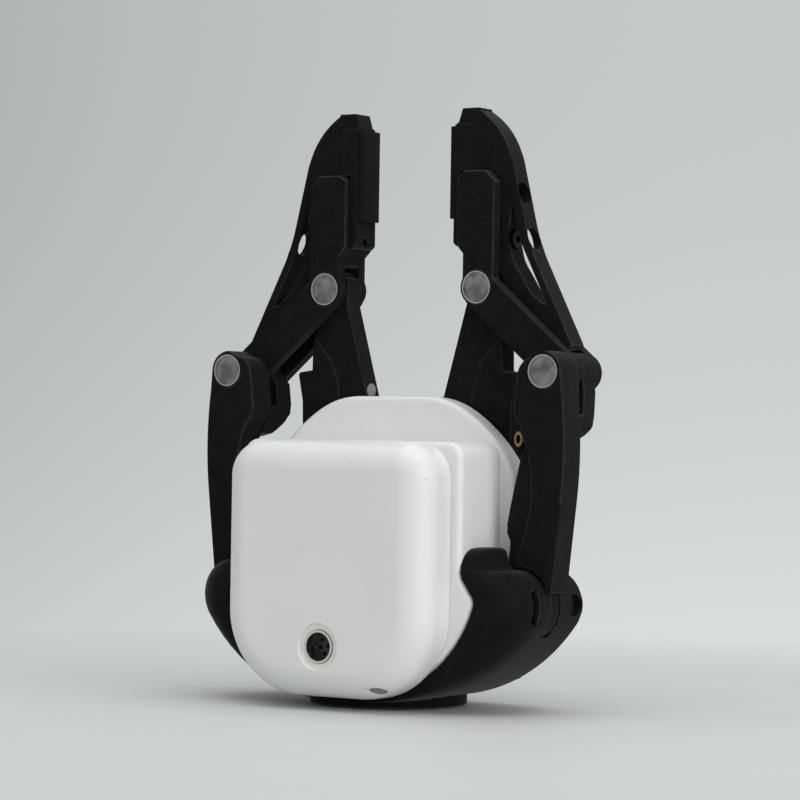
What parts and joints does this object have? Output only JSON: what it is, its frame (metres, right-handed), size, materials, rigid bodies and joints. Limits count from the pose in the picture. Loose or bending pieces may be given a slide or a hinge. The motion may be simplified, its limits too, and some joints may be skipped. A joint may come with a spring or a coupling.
{
  "type": "electric two finger gripper",
  "caption": "Electric parallel gripper: rounded white motor housing in a black palm, black linked fingers with gear sectors and rubber pads, round connector in front, robot flange below.",
  "frame": {"origin": "centre of the flange's mounting face", "axes": "+Z from the flange towards the fingertips; X across the jaws, +X to the right when the connector faces the viewer; -Y is the side with the connector"},
  "size_m": [0.1128, 0.055, 0.1576],
  "materials": {
    "black_nylon": "fine grain, matte",
    "white_shell": "satin",
    "stainless": "turned and satin",
    "black_screw": "blackened steel",
    "nickel_plate": "satin nickel",
    "aluminium": "fine machined",
    "bronze": "turned",
    "insulator": "moulded",
    "circuit_board": "coated",
    "rubber": "matte"
  },
  "bodies": {
    "palm": {"palm_shell": "black_nylon", "mount_plate": "aluminium", "mount_plate_screws": "stainless", "front_cover": "white_shell", "body_shell": "white_shell", "gear_case": "white_shell", "rear_cover": "black_nylon", "rear_cover_screws": "stainless", "cover_spacer": "stainless", "case_screws": "stainless", "cover_screws": "stainless", "connector_shell": "nickel_plate", "connector_insert": "insulator", "connector_contacts": "bronze", "connector_nut": "nickel_plate", "drive_motor": "nickel_plate", "motor_gearbox": "stainless", "control_board": "circuit_board", "board_chips": "insulator", "board_standoffs": "bronze", "outer_pivot_pins": "stainless", "pivot_set_screws": "stainless", "geared_pivot_pins": "stainless"},
    "pinion": {"drive_pinion": "bronze"},
    "right_outer": {"outer_link_right": "black_nylon", "outer_bush_right": "bronze", "outer_finger_pin_right": "stainless"},
    "right_geared": {"geared_link_right": "black_nylon", "geared_bush_right": "bronze", "link_cheek_right": "black_nylon", "cheek_screw_right": "stainless", "cheek_insert_right": "bronze"},
    "right_finger": {"finger_fork_right": "black_nylon", "inner_finger_pin_right": "stainless", "fingertip_right": "black_nylon", "fingertip_screws_right": "black_screw", "grip_pad_right": "rubber"},
    "left_outer": {"outer_link_left": "black_nylon", "outer_bush_left": "bronze", "outer_finger_pin_left": "stainless"},
    "left_geared": {"geared_link_left": "black_nylon", "geared_bush_left": "bronze", "link_cheek_left": "black_nylon", "cheek_screw_left": "stainless", "cheek_insert_left": "bronze"},
    "left_finger": {"finger_fork_left": "black_nylon", "inner_finger_pin_left": "stainless", "fingertip_left": "black_nylon", "fingertip_screws_left": "black_screw", "grip_pad_left": "rubber"}
  },
  "joints": [
    {"name": "right_outer_hinge", "type": "hinge", "parent": "palm", "child": "right_outer", "pos_m": [0.0427, -0.0016, 0.0275], "axis": [0, 1, 0], "range_deg": [-12.4, 32.9]},
    {"name": "left_outer_hinge", "type": "hinge", "parent": "palm", "child": "left_outer", "pos_m": [-0.0427, -0.0016, 0.0275], "axis": [0, 1, 0], "range_deg": [-33, 12.5]},
    {"name": "right_geared_hinge", "type": "hinge", "parent": "palm", "child": "right_geared", "pos_m": [0.017, 0.0087, 0.0497], "axis": [0, 1, 0], "range_deg": [-12.5, 33]},
    {"name": "left_geared_hinge", "type": "hinge", "parent": "palm", "child": "left_geared", "pos_m": [-0.017, 0.0087, 0.0497], "axis": [0, 1, 0], "range_deg": [-33, 12.5]},
    {"name": "right_finger_hinge", "type": "hinge", "parent": "right_outer", "child": "right_finger", "pos_m": [0.04978, 0.0087, 0.08779], "axis": [0, 1, 0], "range_deg": [-33, 12.5]},
    {"name": "left_finger_hinge", "type": "hinge", "parent": "left_outer", "child": "left_finger", "pos_m": [-0.04978, 0.0087, 0.08779], "axis": [0, 1, 0], "range_deg": [-12.5, 33]},
    {"name": "pinion_hinge", "type": "hinge", "parent": "palm", "child": "pinion", "pos_m": [-0.017, 0.0087, 0.0257], "axis": [0, 1, 0], "range_deg": [-31, 81]}
  ],
  "couplings": [
    {"joint": "left_outer_hinge", "follows": "right_outer_hinge", "ratio": -1},
    {"joint": "right_geared_hinge", "follows": "right_outer_hinge", "ratio": 1},
    {"joint": "left_geared_hinge", "follows": "right_outer_hinge", "ratio": -1},
    {"joint": "right_finger_hinge", "follows": "right_outer_hinge", "ratio": -1},
    {"joint": "left_finger_hinge", "follows": "right_outer_hinge", "ratio": 1},
    {"joint": "pinion_hinge", "follows": "right_outer_hinge", "ratio": 2.4286}
  ]
}
